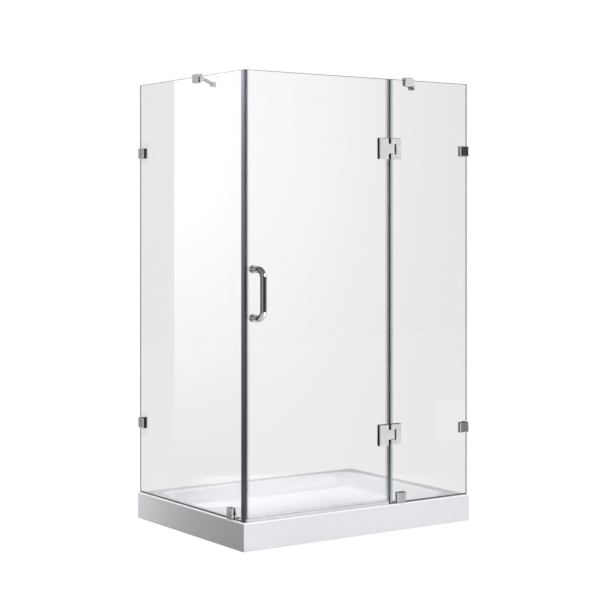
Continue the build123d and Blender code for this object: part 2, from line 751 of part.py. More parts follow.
def door_leaf_plate():
    """Inner plate of the door leaf, with its tongue set a little below its face."""
    half = HINGE_H / 2
    outer = GRIP + PLATE_T
    leaf = block(DOOR_LEAF_LEFT, DOOR_LEAF_RIGHT, GRIP, outer, -half, half)
    leaf = bevelled(leaf, Axis.Y, HINGE_BEVEL)
    half = TONGUE_H / 2
    tongue = block(TONGUE_LEFT, TONGUE_RIGHT, GRIP, outer - TONGUE_SINK, -half, half)
    return leaf + bevelled(tongue, Axis.Y, TONGUE_BEVEL)


def hinge_door_outer():
    plate = mirror(door_leaf_plate(), about=Plane.XZ)
    return plate - screw_holes_outer(DOOR_SCREW_X, DOOR_SCREW_Z)


def hinge_door_inner():
    plate = door_leaf_plate()
    half = TONGUE_H / 2
    plate += block(TONGUE_LEFT, TONGUE_RIGHT, -GRIP, GRIP, -half, half)
    plate -= rod(BUSH_BORE_R, (0, 0, -half - OVERCUT), (0, 0, half + OVERCUT))
    return plate - screw_holes_inner(DOOR_SCREW_X, DOOR_SCREW_Z)


def fixed_leaf_outline(y0, y1):
    half = HINGE_H / 2
    leaf = block(FIXED_LEAF_LEFT, FIXED_LEAF_RIGHT, y0, y1, -half, half)
    left = FIXED_LEAF_LEFT - OVERCUT
    half = FIXED_NOTCH_H / 2
    return leaf - block(left, FIXED_NOTCH_RIGHT, y0 - OVERCUT, y1 + OVERCUT, -half, half)


def hinge_fixed_outer():
    outer = GRIP + PLATE_T
    plate = fixed_leaf_outline(-outer, -GRIP)
    plate = chamfer(plate.faces().sort_by(Axis.Y)[0].edges(), HINGE_BEVEL)
    return plate - screw_holes_outer(FIXED_SCREW_X, FIXED_SCREW_Z)


def hinge_fixed_inner():
    outer = GRIP + PLATE_T
    plate = bevelled(fixed_leaf_outline(GRIP, outer), Axis.Y, HINGE_BEVEL)
    low = FIXED_NOTCH_H / 2
    high = HINGE_H / 2
    for z0, z1, corner in ((low, high, -1), (-high, -low, 0)):
        lug = block(FIXED_LEAF_LEFT, LUG_RIGHT, -GRIP, GRIP, z0, z1)
        edge = lug.edges().filter_by(Axis.Y).group_by(Axis.X)[-1].sort_by(Axis.Z)[corner]
        plate += fillet(edge, LUG_CORNER_R)
    plate -= rod(PIN_BORE_R, (0, 0, -high - OVERCUT), (0, 0, high + OVERCUT))
    return plate - screw_holes_inner(FIXED_SCREW_X, FIXED_SCREW_Z)


def hinge_pin():
    half = HINGE_H / 2 - PIN_SHORT
    pin = rod(PIN_R, (0, 0, -half), (0, 0, half))
    return chamfer(pin.edges().filter_by(GeomType.CIRCLE), PIN_BEVEL)


def hinge_bush_pair():
    bushes = []
    end = TONGUE_H / 2
    for side in (-1, 1):
        face = side * end
        body = rod(BUSH_OUTER_R, (0, 0, face - side * BUSH_LENGTH), (0, 0, face))
        body += rod(BUSH_FLANGE_R, (0, 0, face), (0, 0, face + side * BUSH_FLANGE_T))
        body -= rod(PIN_BORE_R, (0, 0, -2 * end), (0, 0, 2 * end))
        bushes.append(body)
    return bushes


def hinge_door_gaskets():
    sheets = []
    half = HINGE_H / 2 - GASKET_INSET
    left = DOOR_LEAF_LEFT + GASKET_INSET
    right = DOOR_LEAF_RIGHT - DOOR_GASKET_INSET
    for side in (-1, 1):
        y0 = min(side * GRIP, side * GLASS_T / 2)
        y1 = y0 + GASKET_T
        sheet = block(left, right, y0, y1, -half, half)
        sheet -= door_glass_notch()
        sheet -= leaf_holes(DOOR_SCREW_X, DOOR_SCREW_Z, y0 - OVERCUT, y1 + OVERCUT, SCREW_HOLE_R)
        sheets.append(sheet)
    return sheets


def hinge_fixed_gaskets():
    sheets = []
    half = HINGE_H / 2 - GASKET_INSET
    left = LUG_RIGHT + GLASS_NOTCH_PLAY
    right = FIXED_LEAF_RIGHT - GASKET_INSET
    for side in (-1, 1):
        y0 = min(side * GRIP, side * GLASS_T / 2)
        sheets.append(block(left, right, y0, y0 + GASKET_T, -half, half))
    return sheets


def hinge_screws(x, z_half):
    screws = []
    for side in (-1, 1):
        place = Plane(origin=(x, 0, side * z_half), x_dir=(0, 1, 0), z_dir=(0, 0, 1))
        screws.append(place * socket_screw())
    return screws


# Plastic seals


def strike_profile():
    """Half of the corner seal, on the fixed glass, measured from the glass corner."""
    out = SEAL_PLAY + SEAL_WALL
    tip = CORNER_CUT + STRIKE_LEG
    inner = GLASS_T + SEAL_PLAY
    points = [(-out, -out + STRIKE_GAP), (GLASS_T + out, GLASS_T + out + STRIKE_GAP)]
    points += [(GLASS_T + out, tip), (inner, tip), (inner, CORNER_CUT)]
    points += [(-SEAL_PLAY, CORNER_CUT), (-SEAL_PLAY, tip), (-out, tip)]
    return points


def magnet_rectangle(play):
    mid = GLASS_T / 2
    inward = (MAGNET_SKIN + MAGNET_T / 2) / math.sqrt(2)
    centre = Pos(mid - inward, mid + STRIKE_GAP + inward)
    return centre * Rot(0, 0, 45) * Rectangle(MAGNET_W + play, MAGNET_T + play)


def on_other_side(shape):
    """Mirror a piece of the corner seal from the fixed glass to the door."""
    return mirror(shape, about=Plane(origin=(0, 0, 0), x_dir=(1, 1, 0), z_dir=(1, -1, 0)))


def strike_seal(bottom):
    seal = profile_along_z(strike_profile(), bottom, GLASS_TOP)
    return seal - Pos(0, 0, bottom - OVERCUT) * extrude(magnet_rectangle(MAGNET_PLAY), GLASS_TOP)


def magnet_strip(bottom):
    length = GLASS_TOP - bottom - 2 * MAGNET_END_GAP
    return Pos(0, 0, bottom + MAGNET_END_GAP) * extrude(magnet_rectangle(0), length)


def at_corner(shape):
    return Pos(CORNER_X, CORNER_Y, 0) * shape


def hinge_side_seal():
    out = GLASS_T / 2 + SEAL_PLAY + SEAL_WALL
    inner = GLASS_T / 2 + SEAL_PLAY
    edge = CORNER_X + DOOR_RIGHT - HINGE_AXIS_X
    leg = edge - HINGE_SEAL_LEG
    base = edge + SEAL_WALL
    points = [(leg, -out), (leg, -inner), (edge, -inner), (edge, inner), (leg, inner)]
    points += [(leg, out), (base, out), (base, BULB_HALF), (edge + BULB_REACH, BULB_HALF / 2)]
    points += [(edge + BULB_REACH, -BULB_HALF / 2), (base, -BULB_HALF), (base, -out)]
    return between_hinges(points, DOOR_BOTTOM)


def inline_edge_seal():
    """Clear trim on the inline panel's free edge, which faces the door's bulb."""
    out = GLASS_T / 2 + SEAL_PLAY + SEAL_WALL
    inner = GLASS_T / 2 + SEAL_PLAY
    edge = CORNER_X + INLINE_LEFT - HINGE_AXIS_X
    leg = edge + INLINE_SEAL_LEG
    base = edge - SEAL_WALL
    cut = EDGE_SEAL_CUT
    points = [(leg, -out), (leg, -inner), (edge, -inner), (edge, inner), (leg, inner)]
    points += [(leg, out), (base + cut, out), (base, out - cut), (base, cut - out)]
    points += [(base + cut, -out)]
    return between_hinges(points, TRAY_HEIGHT + FIXED_STRIKE_BOTTOM_GAP)


def between_hinges(points, bottom):
    stops = [bottom]
    for hinge_z in sorted(HINGE_CENTRES.values()):
        stops.append(hinge_z - HINGE_H / 2 - SEAL_HINGE_GAP)
        stops.append(hinge_z + HINGE_H / 2 + SEAL_HINGE_GAP)
    stops.append(GLASS_TOP)
    runs = []
    for low, high in zip(stops[::2], stops[1::2]):
        runs.append(Pos(HINGE_AXIS_X, FRONT_MID_Y, 0) * profile_along_z(points, low, high))
    return group(runs)


def door_sweep():
    out = GLASS_T / 2 + SEAL_PLAY + SEAL_WALL
    inner = GLASS_T / 2 + SEAL_PLAY
    base = -SEAL_WALL
    tip = TRAY_HEIGHT + SWEEP_FLOOR_GAP - DOOR_BOTTOM
    fin = -GLASS_T / 4
    points = [(-out, SWEEP_LEG), (-out, base), (fin, base), (fin, tip), (fin + SWEEP_FIN_T, tip)]
    points += [(fin + SWEEP_FIN_T, base), (inner, base), (out + DRIP_OUT, base - DRIP_DOWN)]
    points += [(out + DRIP_OUT, base - DRIP_DOWN + SEAL_WALL), (out, base + SEAL_WALL)]
    points += [(out, SWEEP_LEG), (inner, SWEEP_LEG), (inner, 0), (-inner, 0), (-inner, SWEEP_LEG)]
    x0 = CORNER_X + CORNER_CUT + STRIKE_LEG + SWEEP_END_GAP
    x1 = CORNER_X + DOOR_RIGHT - HINGE_SEAL_LEG - SWEEP_END_GAP
    place = Plane(origin=(x0, FRONT_MID_Y, DOOR_BOTTOM), x_dir=(0, 1, 0), z_dir=(1, 0, 0))
    return place * profile_along_z(points, 0, x1 - x0)


# Pull handle


def handle_places():
    x = CORNER_X + HANDLE_AT
    half = HANDLE_SPACING / 2
    return [(x, HANDLE_Z - half), (x, HANDLE_Z + half)]


def pull_handle():
    (x, low), (_, high) = handle_places()
    root_y = CORNER_Y - WASHER_T
    bar_y = CORNER_Y - HANDLE_REACH
    corners = [(x, root_y, low), (x, bar_y, low), (x, bar_y, high), (x, root_y, high)]
    path = FilletPolyline(*corners, radius=HANDLE_BEND_R)
    start = Plane(origin=corners[0], z_dir=(0, -1, 0))
    tube = sweep(start * Circle(HANDLE_R), path=path)
    for z in (low, high):
        collar = rod(COLLAR_R, (x, root_y, z), (x, root_y - COLLAR_T, z))
        tube += chamfer(collar.faces().sort_by(Axis.Y)[0].edges(), COLLAR_BEVEL)
    return tube - sweep(start * Circle(HANDLE_R - HANDLE_WALL), path=path)


def handle_washers():
    washers = []
    for x, z in handle_places():
        for y0 in (CORNER_Y - WASHER_T, CORNER_Y + GLASS_T):
            y1 = y0 + WASHER_T
            washer = rod(WASHER_R, (x, y0, z), (x, y1, z))
            hole = rod(STUD_R + THREAD_PLAY, (x, y0 - OVERCUT, z), (x, y1 + OVERCUT, z))
            washers.append(washer - hole)
    return group(washers)


def handle_studs():
    studs = []
    root_y = CORNER_Y - WASHER_T
    tip_y = CORNER_Y + GLASS_T + WASHER_T + CAP_BORE_DEPTH - STUD_END_GAP
    plug_r = HANDLE_R - HANDLE_WALL - PLUG_PLAY
    for x, z in handle_places():
        plug = rod(plug_r, (x, root_y, z), (x, root_y - PLUG_LENGTH, z))
        studs.append(plug + rod(STUD_R, (x, root_y, z), (x, tip_y, z)))
    return group(studs)


def handle_inner_caps():
    caps = []
    seat = CORNER_Y + GLASS_T + WASHER_T
    for x, z in handle_places():
        cap = rod(CAP_R, (x, seat, z), (x, seat + CAP_H, z))
        cap = fillet(cap.faces().sort_by(Axis.Y)[-1].edges(), CAP_DOME_R)
        bore = rod(STUD_R + THREAD_PLAY, (x, seat - OVERCUT, z), (x, seat + CAP_BORE_DEPTH, z))
        caps.append(cap - bore)
    return group(caps)


# Places that many pieces share

CLAMP_PLACES = clamp_places()
BRACE_LINES = brace_lines()
HINGE_CENTRES = {"upper": GLASS_TOP - HINGE_FROM_END, "lower": TRAY_HEIGHT + HINGE_FROM_END}


# Named pieces


def tray_nodes():
    return {
        "shower_tray": shower_tray(),
        "drain_body": drain_body(),
        "drain_gasket": drain_gasket(),
        "drain_locknut": drain_locknut(),
        "drain_grate": drain_grate(),
        "drain_grate_screw": drain_grate_screw(),
    }


def glass_nodes():
    return {
        "return_panel": return_panel(),
        "inline_panel": inline_panel(),
        "door_glass": door_glass(),
        "return_panel_sealant": return_panel_sealant(),
        "inline_panel_sealant": inline_panel_sealant(),
    }


def clamp_nodes():
    nodes = {}
    gaskets = []
    screws = []
    for name, place in CLAMP_PLACES.items():
        foot_hole_r = FOOT_SCREW_HOLE_R if name.endswith("base") else WALL_HOLE_R
        nodes[name + "_clamp_bracket"] = place * clamp_bracket(foot_hole_r)
        nodes[name + "_clamp_plate"] = place * clamp_outer_plate()
        for gasket in clamp_gasket_pair():
            gaskets.append(place * gasket)
        for screw in clamp_screw_pair():
            screws.append(place * screw)
    nodes["clamp_gaskets"] = group(gaskets)
    nodes["clamp_screws"] = group(screws)
    nodes["base_foot_screws"] = base_foot_screws()
    return nodes


def brace_nodes():
    nodes = {}
    for side in BRACE_LINES:
        nodes[side + "_brace_saddle"] = brace_saddle(side)
        nodes[side + "_brace_bar"] = brace_bar(side)
        nodes[side + "_brace_wall_bracket"] = brace_wall_bracket(side)
    nodes["brace_pads"] = group([saddle_pads(side) for side in BRACE_LINES])
    nodes["brace_grub_screws"] = brace_grub_screws()
    return nodes


def hinge_nodes():
    nodes = {}
    shared = {"hinge_bushes": hinge_bush_pair(), "hinge_door_gaskets": hinge_door_gaskets()}
    shared["hinge_fixed_gaskets"] = hinge_fixed_gaskets()
    shared["hinge_door_screws"] = hinge_screws(DOOR_SCREW_X, DOOR_SCREW_Z)
    shared["hinge_fixed_screws"] = hinge_screws(FIXED_SCREW_X, FIXED_SCREW_Z)
    placed = {name: [] for name in shared}
    for name, hinge_z in HINGE_CENTRES.items():
        place = Pos(HINGE_AXIS_X, FRONT_MID_Y, hinge_z)
        nodes[name + "_hinge_door_outer"] = place * hinge_door_outer()
        nodes[name + "_hinge_door_inner"] = place * hinge_door_inner()
        nodes[name + "_hinge_fixed_outer"] = place * hinge_fixed_outer()
        nodes[name + "_hinge_fixed_inner"] = place * hinge_fixed_inner()
        nodes[name + "_hinge_pin"] = place * hinge_pin()
        for part_name, shapes in shared.items():
            placed[part_name].extend(place * shape for shape in shapes)
    for part_name, shapes in placed.items():
        nodes[part_name] = group(shapes)
    return nodes


def seal_nodes():
    fixed_bottom = TRAY_HEIGHT + FIXED_STRIKE_BOTTOM_GAP
    door_bottom = TRAY_HEIGHT + STRIKE_BOTTOM_GAP
    return {
        "return_strike_seal": at_corner(strike_seal(fixed_bottom)),
        "return_magnet_strip": at_corner(magnet_strip(fixed_bottom)),
        "door_strike_seal": at_corner(on_other_side(strike_seal(door_bottom))),
        "door_magnet_strip": at_corner(on_other_side(magnet_strip(door_bottom))),
        "hinge_side_seal": hinge_side_seal(),
        "inline_edge_seal": inline_edge_seal(),
        "door_sweep": door_sweep(),
    }


def handle_nodes():
    return {
        "pull_handle": pull_handle(),
        "handle_washers": handle_washers(),
        "handle_studs": handle_studs(),
        "handle_inner_caps": handle_inner_caps(),
    }


def main():
    os.makedirs("parts", exist_ok=True)
    for make in (tray_nodes, glass_nodes, clamp_nodes, brace_nodes, hinge_nodes, seal_nodes, handle_nodes):
        for node, shape in make().items():
            export_step(shape, "parts/" + node + ".step")


main()
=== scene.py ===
import json
import math

import bpy
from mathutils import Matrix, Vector


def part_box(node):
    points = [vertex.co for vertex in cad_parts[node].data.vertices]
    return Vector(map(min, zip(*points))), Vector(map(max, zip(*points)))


# Frameless corner shower enclosure with a hinged door: finishes, studio and camera.
# Everything is in metres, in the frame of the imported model.

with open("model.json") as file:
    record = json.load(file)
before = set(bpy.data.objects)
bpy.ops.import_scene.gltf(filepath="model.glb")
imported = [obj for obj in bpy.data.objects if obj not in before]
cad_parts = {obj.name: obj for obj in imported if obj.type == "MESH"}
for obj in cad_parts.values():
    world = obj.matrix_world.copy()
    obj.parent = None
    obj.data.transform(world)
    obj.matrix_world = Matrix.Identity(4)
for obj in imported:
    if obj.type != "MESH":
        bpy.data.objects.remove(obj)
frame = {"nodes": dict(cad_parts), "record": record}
NODES = frame["nodes"]
SLOT_OF = {row["node"]: row["material_slot"] for row in frame["record"]["subparts"]}
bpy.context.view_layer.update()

# Camera, at the photograph's viewing angle
IMAGE_SIZE_PX = 600
FOCAL_LENGTH_PX = 1530.0
HORIZON_ROW_PX = 224.4
SENSOR_MM = 36.0
CAMERA_PLACE = (-3.982, -5.787, 1.352)
CAMERA_YAW_DEG = 34.43

# Studio
FLOOR_SIZE = 18.0
FLOOR_DROP = 0.0005
BACKDROP_BEHIND_GLASS = 0.89
FLOOR_GLOW = 0.93
FLOOR_GLOW_BEHIND_GLASS = 0.862
FLOOR_SEEN_ALBEDO = 0.14
FLOOR_BEHIND_GLASS_ALBEDO = 0.05
FLOOR_ALBEDO = 0.08
SKY_LOW = 0.03
SKY_HIGH = 1.65
SKY_RISE = (35.0, 65.0)

# What shiny surfaces mirror. Directions are in degrees, azimuth clockwise from +Y and
# elevation above the horizon. On an even base lie cards and flags, in this order. Each has
# the azimuths, then the elevations, where it starts, is full, ends and is gone, and a level.
MIRROR_BASE = 0.50
MIRROR_OVERHEAD = 0.22
MIRROR_UNDERNEATH = 0.80
LOW_SIDES = (-18.0, -14.0, 20.0, 26.0)
CARD_HEIGHT = (-14.0, 4.0, 10.0, 13.0)
MIRRORED = [
    ((148.1, 148.3, 149.9, 150.1), LOW_SIDES, 0.22),
    ((149.9, 150.1, 164.0, 165.0), LOW_SIDES, 0.10),
    ((164.0, 165.0, 190.0, 191.0), LOW_SIDES, 0.05),
    ((-191.0, -190.0, -132.0, -131.0), LOW_SIDES, 0.02),
    ((-131.0, -130.0, -116.0, -115.0), LOW_SIDES, 0.90),
    ((-115.0, -114.0, -97.0, -95.0), LOW_SIDES, 0.12),
    ((-97.0, -95.0, -76.0, -74.0), LOW_SIDES, 0.25),
    ((-76.0, -74.0, -43.0, -42.5), LOW_SIDES, 0.15),
    ((-29.70, -29.64, -18.0, -16.0), LOW_SIDES, 0.50),
    ((-28.80, -28.75, -28.20, -28.15), (2.2, 2.3, 3.0, 3.1), 0.16),
    ((-28.80, -28.75, -28.20, -28.15), (-7.9, -7.8, -7.0, -6.9), 0.16),
    ((-18.0, -16.0, 12.0, 14.0), LOW_SIDES, 0.12),
    ((12.0, 14.0, 54.0, 56.0), (-40.0, -30.0, -1.0, -0.5), 0.03),
    ((12.0, 14.0, 54.0, 56.0), (4.0, 6.0, 16.0, 20.0), 0.06),
    ((108.0, 112.0, 137.5, 138.5), LOW_SIDES, 0.22),
    ((137.5, 138.5, 148.1, 148.3), (-60.0, -56.0, 10.0, 13.0), 0.03),
    ((-37.0, -34.0, -29.76, -29.70), (-60.0, -56.0, 10.0, 13.0), 0.10),
    ((139.0, 149.0, 148.2, 148.3), CARD_HEIGHT, 1.93),
    ((-40.0, -30.0, -29.76, -29.70), CARD_HEIGHT, 1.90),
    ((-38.7, -38.4, -34.6, -34.4), LOW_SIDES, 0.03),
    ((-42.5, -42.0, -39.4, -39.2), LOW_SIDES, 0.70),
    ((139.0, 146.0, 148.0, 148.2), (-16.0, -15.0, -9.4, -9.2), 1.70),
    ((-34.0, -31.6, -31.6, -29.8), (-10.5, -10.4, -9.4, -9.2), 1.10),
    ((138.9, 139.0, 140.4, 140.5), (-8.1, -8.0, -6.5, -6.4), 0.36),
    ((109.0, 115.0, 165.0, 171.0), (12.0, 16.0, 34.0, 38.0), 3.60),
    ((109.0, 115.0, 165.0, 171.0), (-62.0, -58.0, -20.0, -16.0), 3.20),
]

OVERHEAD_RISE = (24.0, 40.0)
UNDERNEATH_FALL = (-34.0, -16.0)

# Lamps: where each is, what it points at, its size and its power in watts
LAMPS = {
    "front_strip": ((0.45, -4.2, 0.06), (0.2, -0.4, 0.06), (0.8, 0.1), 92.0),
    "back_strip": ((0.1, 4.2, 0.06), (0.1, 0.4, 0.06), (0.8, 0.1), 100.0),
    "right_strip": ((4.4, 0.0, 0.06), (0.4, 0.0, 0.06), (0.8, 0.1), 100.0),
    "overhead": ((-0.95, -0.5, 2.4), (0.3, -0.1, 0.0), (0.7, 0.7), 34.0),
    "left_back": ((-1.2, 0.7, 0.13), (-0.6, 0.4, 0.06), (0.3, 0.2), 2.1),
}

# Glass
GLASS_TINT = (0.978, 0.982, 0.981)
GLASS_IOR = 1.5
GLASS_CORNER = (-0.5985, -0.4450)
FRONT_GLASS_Y = -0.4400
PANES = (("return_panel", 0, (1,)), ("inline_panel", 1, ()), ("door_glass", 1, (0, 2)))
# Width and colour of the band painted along bare glass edges as painted shade.
PAINTED_EDGE_SHADE_BAND = 0.0022
PAINTED_EDGE_SHADE_COLOUR = (0.035, 0.042, 0.043)
PLASTIC_IOR = 1.48
SEAL_TINT = (0.95, 0.96, 0.965)
BULB_TINT = (0.94, 0.95, 0.96)
EDGE_SEAL_TINT = (0.76, 0.80, 0.82)

# Corner seal halves: the darker colour given near the glass corner, and how far it reaches from the
# glass corner
RETURN_CORE = (0.105, 0.100, 0.128)
RETURN_CORE_END = 0.002
DOOR_CORE = (0.030, 0.048, 0.054)
DOOR_CORE_END = 0.0058

# Metal and acrylic
CHROME_TONE = 0.72
SATIN_TONE = 0.76
# The hinges' plated chrome, set lighter than the rest as painted light.
HINGE_TONE_PAINTED_LIGHT = 0.84
# The handle's plated chrome, set darker than the rest as painted shade.
HANDLE_TONE_PAINTED_SHADE = 0.62
HINGE_CORE = 0.0085
HINGE_CORE_COLOUR = (0.012, 0.012, 0.013)
ACRYLIC_DARK = (0.862, 0.866, 0.898)
ACRYLIC_LIGHT = (0.874, 0.878, 0.908)


# Plain finishes: darker and lighter colour, roughness, grain size, and metallic if any
PLAIN_FINISHES = {
    "magnet_strip": ((0.030, 0.030, 0.036), (0.045, 0.043, 0.052), (0.5, 0.65), 30.0),
    "dark_sealant": ((0.10, 0.10, 0.11), (0.15, 0.15, 0.165), (0.3, 0.45), 40.0),
    "black_rubber": ((0.012, 0.012, 0.013), (0.022, 0.022, 0.023), (0.6, 0.8), 80.0),
    "nylon": ((0.66, 0.67, 0.67), (0.74, 0.75, 0.75), (0.35, 0.5), 60.0),
    "steel": ((0.50, 0.50, 0.51), (0.62, 0.62, 0.62), (0.22, 0.34), 120.0, 1.0),
}


# Node helpers


def new_material(name):
    material = bpy.data.materials.new(name)
    material.use_nodes = True
    tree = material.node_tree
    return material, tree, tree.nodes["Principled BSDF"]


def math_node(tree, operation, first, second=None):
    node = tree.nodes.new("ShaderNodeMath")
    node.operation = operation
    for socket, value in zip(node.inputs, (first, second)):
        if value is None:
            continue
        if isinstance(value, bpy.types.NodeSocket):
            tree.links.new(value, socket)
        else:
            socket.default_value = value
    return node.outputs[0]


def remap(tree, value, source, target=(0.0, 1.0), smooth=False):
    node = tree.nodes.new("ShaderNodeMapRange")
    node.interpolation_type = "SMOOTHSTEP" if smooth else "LINEAR"
    tree.links.new(value, node.inputs["Value"])
    node.inputs["From Min"].default_value = source[0]
    node.inputs["From Max"].default_value = source[1]
    node.inputs["To Min"].default_value = target[0]
    node.inputs["To Max"].default_value = target[1]
    return node.outputs["Result"]


def mix_values(tree, factor, first, second):
    node = tree.nodes.new("ShaderNodeMix")
    tree.links.new(factor, node.inputs["Factor"])
    for socket, value in ((node.inputs["A"], first), (node.inputs["B"], second)):
        if isinstance(value, bpy.types.NodeSocket):
            tree.links.new(value, socket)
        else:
            socket.default_value = value
    return node.outputs["Result"]


def mix_colours(tree, factor, first, second):
    node = tree.nodes.new("ShaderNodeMix")
    node.data_type = "RGBA"
    tree.links.new(factor, node.inputs[0])
    for socket, value in ((node.inputs[6], first), (node.inputs[7], second)):
        if isinstance(value, bpy.types.NodeSocket):
            tree.links.new(value, socket)
        else:
            socket.default_value = (*value, 1.0)
    return node.outputs[2]


def place_in_mesh(tree):
    return tree.nodes.new("ShaderNodeTexCoord").outputs["Object"]


def noise(tree, scale, detail=2.0, stretch=(1.0, 1.0, 1.0)):
    mapping = tree.nodes.new("ShaderNodeMapping")
    mapping.inputs["Scale"].default_value = stretch
    tree.links.new(place_in_mesh(tree), mapping.inputs["Vector"])
    node = tree.nodes.new("ShaderNodeTexNoise")
    node.inputs["Scale"].default_value = scale
    node.inputs["Detail"].default_value = detail
    tree.links.new(mapping.outputs["Vector"], node.inputs["Vector"])
    return node.outputs["Fac"]


def bump(tree, shader, height, distance, strength=1.0):
    node = tree.nodes.new("ShaderNodeBump")
    node.inputs["Distance"].default_value = distance
    node.inputs["Strength"].default_value = strength
    tree.links.new(height, node.inputs["Height"])
    tree.links.new(node.outputs["Normal"], shader.inputs["Normal"])


def mottled(name, dark, light, rough, scale, metallic=0.0):
    """A plain finish whose colour and roughness drift between two values over the surface."""
    material, tree, shader = new_material(name)
    cloud = noise(tree, scale)
    tree.links.new(mix_colours(tree, cloud, dark, light), shader.inputs["Base Color"])
    fine = noise(tree, scale * 7.0, detail=4.0)
    tree.links.new(remap(tree, fine, (0.3, 0.7), rough), shader.inputs["Roughness"])
    shader.inputs["Metallic"].default_value = metallic
    return material


# Finishes


def glass(name, node, across, sealed):
    """Clear glass, with a narrow near-black band painted along its bare edges as painted shade.

    across is the number of the axis through the pane. sealed lists the axes on whose low
    side the glass ends in a clear seal; there the band of painted shade is left off.
    """
    material, tree, shader = new_material(name)
    low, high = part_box(node)
    split = tree.nodes.new("ShaderNodeSeparateXYZ")
    tree.links.new(place_in_mesh(tree), split.inputs["Vector"])
    distance = None
    for axis in range(3):
        if axis == across:
            continue
        from_low = math_node(tree, "SUBTRACT", split.outputs[axis], low[axis])
        from_high = math_node(tree, "SUBTRACT", high[axis], split.outputs[axis])
        nearest = math_node(tree, "MINIMUM", from_low, from_high)
        if axis in sealed:
            nearest = from_high
        distance = nearest if distance is None else math_node(tree, "MINIMUM", distance, nearest)
    # Painted shade: a near-black, opaque band along the bare edges of the pane.
    painted_edge_shade = remap(tree, distance, (PAINTED_EDGE_SHADE_BAND * 0.6, PAINTED_EDGE_SHADE_BAND), (1.0, 0.0), smooth=True)
    tint = mix_colours(tree, painted_edge_shade, GLASS_TINT, PAINTED_EDGE_SHADE_COLOUR)
    tree.links.new(tint, shader.inputs["Base Color"])
    tree.links.new(remap(tree, painted_edge_shade, (0.0, 1.0), (1.0, 0.0)), shader.inputs["Transmission Weight"])
    smear = noise(tree, 9.0, detail=3.0, stretch=(1.0, 1.0, 0.4))
    tree.links.new(remap(tree, smear, (0.45, 0.75), (0.0, 0.003)), shader.inputs["Roughness"])
    shader.inputs["IOR"].default_value = GLASS_IOR
    let_lamps_through(material, tree, shader, GLASS_TINT)
    return material


def let_lamps_through(material, tree, shader, tint):
    """Light that only falls on what is behind the piece passes straight through it."""
    clear = tree.nodes.new("ShaderNodeBsdfTransparent")
    clear.inputs["Color"].default_value = (*[c ** 0.5 for c in tint], 1.0)
    path = tree.nodes.new("ShaderNodeLightPath")
    unseen = math_node(tree, "MAXIMUM", path.outputs["Is Shadow Ray"], path.outputs["Is Diffuse Ray"])
    mix = tree.nodes.new("ShaderNodeMixShader")
    tree.links.new(unseen, mix.inputs[0])
    tree.links.new(shader.outputs["BSDF"], mix.inputs[1])
    tree.links.new(clear.outputs["BSDF"], mix.inputs[2])
    tree.links.new(mix.outputs[0], tree.nodes["Material Output"].inputs["Surface"])


def clear_plastic(name, tint, rough):
    material, tree, shader = new_material(name)
    cloud = noise(tree, 60.0, stretch=(1.0, 1.0, 0.1))
    darker = tuple(c * 0.92 for c in tint)
    tree.links.new(mix_colours(tree, cloud, darker, tint), shader.inputs["Base Color"])
    tree.links.new(remap(tree, cloud, (0.3, 0.7), rough), shader.inputs["Roughness"])
    shader.inputs["Transmission Weight"].default_value = 1.0
    shader.inputs["IOR"].default_value = PLASTIC_IOR
    let_lamps_through(material, tree, shader, tint)
    return material


def acrylic(name):
    material, tree, shader = new_material(name)
    cloud = noise(tree, 3.0, detail=3.0)
    colour = mix_colours(tree, cloud, ACRYLIC_DARK, ACRYLIC_LIGHT)
    tree.links.new(colour, shader.inputs["Base Color"])
    fine = noise(tree, 90.0, detail=4.0)
    tree.links.new(remap(tree, fine, (0.3, 0.7), (0.20, 0.27)), shader.inputs["Roughness"])
    shader.inputs["Coat Weight"].default_value = 0.25
    shader.inputs["Coat Roughness"].default_value = 0.12
    bump(tree, shader, noise(tree, 220.0, detail=2.0), 0.00008)
    return material


def chrome(name, rough, tone=CHROME_TONE, core=0.0):
    """Plated metal with faint polishing marks.

    core is how far from the middle of the front glass a hinge's inner parts are blackened.
    """
    material, tree, shader = new_material(name)
    cloud = noise(tree, 25.0, detail=3.0)
    colour = mix_colours(tree, cloud, (tone * 0.98,) * 3, (tone * 1.02,) * 3)
    if core:
        split = tree.nodes.new("ShaderNodeSeparateXYZ")
        tree.links.new(place_in_mesh(tree), split.inputs["Vector"])
        depth = math_node(tree, "SUBTRACT", split.outputs["Y"], FRONT_GLASS_Y)
        depth = math_node(tree, "ABSOLUTE", depth)
        inner = remap(tree, depth, (core, core + 0.0004), (1.0, 0.0))
        colour = mix_colours(tree, inner, colour, HINGE_CORE_COLOUR)
    tree.links.new(colour, shader.inputs["Base Color"])
    marks = noise(tree, 420.0, detail=5.0, stretch=(1.0, 1.0, 0.25))
    tree.links.new(remap(tree, marks, (0.3, 0.7), rough), shader.inputs["Roughness"])
    shader.inputs["Metallic"].default_value = 1.0
    bump(tree, shader, marks, 0.000004)
    return material


